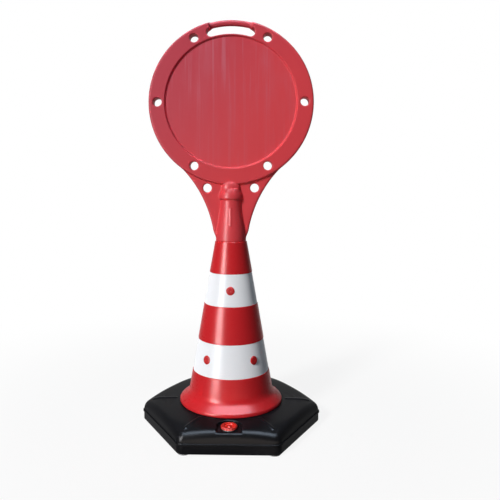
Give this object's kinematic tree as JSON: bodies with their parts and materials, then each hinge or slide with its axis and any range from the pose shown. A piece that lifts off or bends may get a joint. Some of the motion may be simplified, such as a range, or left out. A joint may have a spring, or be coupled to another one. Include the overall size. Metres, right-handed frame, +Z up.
{
  "type": "cone sign",
  "caption": "Road cone on a hexagonal ballast tank, with reflective bands, a screw filler cap and a round hollow sign board that lifts off by its hand slot.",
  "frame": {"origin": "on the ground, under the middle of the hexagonal base", "axes": "+Z up along the cone's axis, -Y towards the front with the filler cap, X along the width of the sign board"},
  "size_m": [0.4072, 0.358, 0.9269],
  "materials": {
    "tank_plastic": "black blow-moulded polyethylene, waxy gloss with faint mottling",
    "foot_rubber": "matt black rubber",
    "cone_plastic": "red polyethylene, soft gloss",
    "band_film": "white reflective film with a fine cell pattern",
    "rivet_plastic": "red moulded plastic, soft gloss",
    "board_plastic": "red blow-moulded polyethylene, satin, with faint upright streaks",
    "cap_plastic": "bright red moulded plastic"
  },
  "bodies": {
    "base": {"base_tray": "tank_plastic", "base_cover": "tank_plastic", "base_feet": "foot_rubber"},
    "cone": {"cone_shell": "cone_plastic", "upper_reflective_band": "band_film", "lower_reflective_band": "band_film", "upper_band_rivets": "rivet_plastic", "lower_band_rivets": "rivet_plastic"},
    "board": {"sign_board": "board_plastic"},
    "gasket": {"cap_gasket": "foot_rubber"},
    "cap": {"filler_cap": "cap_plastic"}
  },
  "joints": [
    {"name": "cone_lift", "type": "slide", "parent": "base", "child": "cone", "axis": [0, 0, 1], "range_m": [0, 0.06]},
    {"name": "board_lift", "type": "slide", "parent": "cone", "child": "board", "axis": [0, 0, 1], "range_m": [0, 0.12]},
    {"name": "cap_rise", "type": "slide", "parent": "base", "child": "gasket", "axis": [0, 0, 1], "range_m": [0, 0.0126]},
    {"name": "cap_turn", "type": "hinge", "parent": "gasket", "child": "cap", "pos_m": [0, -0.149, 0.0475], "axis": [0, 0, 1], "range_deg": [0, 900]}
  ],
  "couplings": [
    {"joint": "cap_rise", "follows": "cap_turn", "m_per_rad": 0.00079577}
  ]
}
